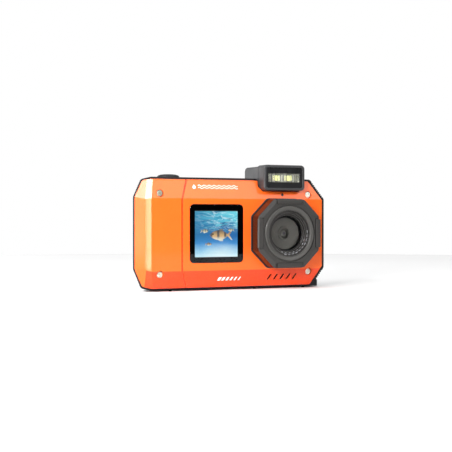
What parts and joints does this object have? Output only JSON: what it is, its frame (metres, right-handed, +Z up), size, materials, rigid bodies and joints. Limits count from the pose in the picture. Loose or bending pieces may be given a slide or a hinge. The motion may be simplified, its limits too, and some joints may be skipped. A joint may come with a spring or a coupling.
{
  "type": "compact camera",
  "caption": "Rugged waterproof compact camera with an eight-sided lens port, a square front screen, a top lamp unit, a rear screen with keys, a side door and a tripod socket.",
  "frame": {"origin": "middle of the overall footprint, on the surface that the camera stands on", "axes": "+X to the right when facing the lens, +Y from the lens to the back, +Z up"},
  "size_m": [0.1146, 0.0348, 0.0682],
  "materials": {
    "cover_orange": "fine satin grain, orange",
    "shell_black": "fine matte grain, near black",
    "port_black": "satin, near black",
    "ring_grey": "fine satin, dark grey",
    "seal_rubber": "soft matte",
    "key_rubber": "soft matte, moulded",
    "screw_steel": "turned, passivated",
    "bush_brass": "machined",
    "optical_glass": "polished, coated",
    "screen_glass": "polished",
    "mask_black": "printed gloss black",
    "display_front": "lit panel",
    "display_rear": "lit panel",
    "flash_clear": "clear ribbed plastic",
    "reflector_mirror": "metallised",
    "lamp_phosphor": "phosphor on ceramic",
    "board_green": "solder mask",
    "chassis_alloy": "pressed sheet",
    "socket_steel": "stamped",
    "card_plastic": "moulded",
    "battery_wrap": "satin film",
    "spring_steel": "drawn wire"
  },
  "bodies": {
    "camera": {"front_cover": "cover_orange", "front_seal": "seal_rubber", "middle_frame": "shell_black", "rear_seal": "seal_rubber", "rear_cover": "shell_black", "cover_screws": "screw_steel", "base_feet": "seal_rubber", "tripod_bush": "bush_brass", "strap_pin": "screw_steel", "lens_housing": "port_black", "lens_port_seal": "seal_rubber", "lens_bezel": "port_black", "lens_ring": "ring_grey", "lens_baffle": "port_black", "port_window": "optical_glass", "window_seal": "seal_rubber", "lens_face_plate": "ring_grey", "lens_cell": "port_black", "front_lens": "optical_glass", "image_sensor": "board_green", "front_screen_glass": "screen_glass", "front_screen_mask": "mask_black", "front_display": "display_front", "flash_bezel": "shell_black", "flash_faceplate": "port_black", "flash_window": "flash_clear", "flash_reflector": "reflector_mirror", "flash_leds": "lamp_phosphor", "flash_housing": "shell_black", "flash_gasket": "seal_rubber", "shutter_spring": "spring_steel", "shutter_seal": "seal_rubber", "top_switch_board": "board_green", "rear_screen_glass": "screen_glass", "rear_screen_mask": "mask_black", "rear_display": "display_rear", "status_light": "flash_clear", "key_seals": "seal_rubber", "key_switch_board": "board_green", "chassis_plate": "chassis_alloy", "main_board": "board_green", "usb_socket": "socket_steel", "card_socket": "socket_steel", "memory_card": "card_plastic", "battery_bay": "port_black", "battery": "battery_wrap", "speaker": "card_plastic", "microphone": "socket_steel", "door_hinge_pin": "screw_steel"},
    "shutter": {"shutter_button": "key_rubber"},
    "power": {"power_button": "key_rubber"},
    "door": {"battery_door": "shell_black", "door_seal": "seal_rubber"},
    "lock": {"door_lock": "key_rubber"},
    "key_zoom_in": {"key_zoom_in": "key_rubber"},
    "key_mode": {"key_mode": "key_rubber"},
    "key_zoom_out": {"key_zoom_out": "key_rubber"},
    "key_menu": {"key_menu": "key_rubber"},
    "key_play": {"key_play": "key_rubber"},
    "key_screen": {"key_screen": "key_rubber"}
  },
  "joints": [
    {"name": "shutter_press", "type": "slide", "parent": "camera", "child": "shutter", "axis": [0, 0, -1], "range_m": [0, 0.0008], "stiffness_N_per_m": 1500, "deforming": ["shutter_spring"]},
    {"name": "power_press", "type": "slide", "parent": "camera", "child": "power", "axis": [0, 0, -1], "range_m": [0, 0.0005], "stiffness_N_per_m": 2500},
    {"name": "door_hinge", "type": "hinge", "parent": "camera", "child": "door", "pos_m": [0.0517, 0.006, 0.0023], "axis": [0, 1, 0], "range_deg": [0, 70]},
    {"name": "lock_slide", "type": "slide", "parent": "door", "child": "lock", "axis": [0, 0, 1], "range_m": [0, 0.002]},
    {"name": "key_zoom_in_press", "type": "slide", "parent": "camera", "child": "key_zoom_in", "axis": [0, -1, 0], "range_m": [0, 0.0006], "stiffness_N_per_m": 2000},
    {"name": "key_mode_press", "type": "slide", "parent": "camera", "child": "key_mode", "axis": [0, -1, 0], "range_m": [0, 0.0006], "stiffness_N_per_m": 2000},
    {"name": "key_zoom_out_press", "type": "slide", "parent": "camera", "child": "key_zoom_out", "axis": [0, -1, 0], "range_m": [0, 0.0006], "stiffness_N_per_m": 2000},
    {"name": "key_menu_press", "type": "slide", "parent": "camera", "child": "key_menu", "axis": [0, -1, 0], "range_m": [0, 0.0006], "stiffness_N_per_m": 2000},
    {"name": "key_play_press", "type": "slide", "parent": "camera", "child": "key_play", "axis": [0, -1, 0], "range_m": [0, 0.0006], "stiffness_N_per_m": 2000},
    {"name": "key_screen_press", "type": "slide", "parent": "camera", "child": "key_screen", "axis": [0, -1, 0], "range_m": [0, 0.0006], "stiffness_N_per_m": 2000}
  ]
}
